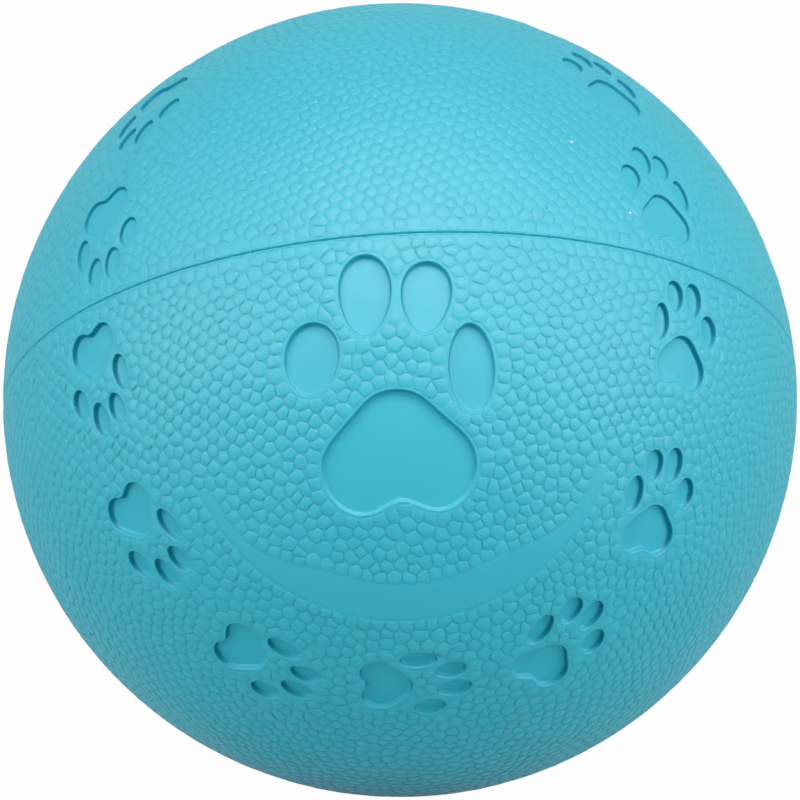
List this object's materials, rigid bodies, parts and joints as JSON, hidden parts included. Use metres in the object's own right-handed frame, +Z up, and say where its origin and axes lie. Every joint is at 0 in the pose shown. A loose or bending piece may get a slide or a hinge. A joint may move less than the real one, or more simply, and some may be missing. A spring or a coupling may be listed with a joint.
{
  "type": "squeaky dog ball",
  "caption": "Hollow rubber dog ball of bonded halves with sunken paw prints, a pebbled skin and a reed squeaker inside that sounds through a vent when the ball is squeezed.",
  "frame": {"origin": "centre of the ball, the middle of its box", "axes": "+Z up as the ball lies, -Y towards the viewer who faces the big paw print, +X to that viewer's right; the seam's axis leans 22.3 degrees back and 3.5 degrees to the left"},
  "size_m": [0.0702, 0.07, 0.07],
  "materials": {
    "rubber": "satin turquoise rubber, moulded with fine pebbles",
    "cement": "cured rubber cement",
    "white_plastic": "satin moulded plastic",
    "grey_plastic": "satin moulded plastic",
    "film": "thin springy film"
  },
  "bodies": {
    "lower_ball": {"paw_half": "rubber", "seam_bond": "cement"},
    "upper_ball": {"vent_half": "rubber", "squeaker_body": "white_plastic", "squeaker_cover": "white_plastic", "reed_holder": "grey_plastic", "reed_plug": "grey_plastic"},
    "reed": {"reed": "film"}
  },
  "joints": [
    {"name": "squeeze", "type": "slide", "parent": "lower_ball", "child": "upper_ball", "axis": [0.0565, -0.3795, -0.9235], "range_m": [0, 0.01], "stiffness_N_per_m": 3000, "deforming": ["vent_half"]},
    {"name": "reed_bend", "type": "hinge", "parent": "upper_ball", "child": "reed", "pos_m": [-0.00144, 0.01012, 0.02358], "axis": [0.9977, -0.0121, 0.066], "range_deg": [-4, 4], "stiffness_Nm_per_rad": 0.0002}
  ]
}
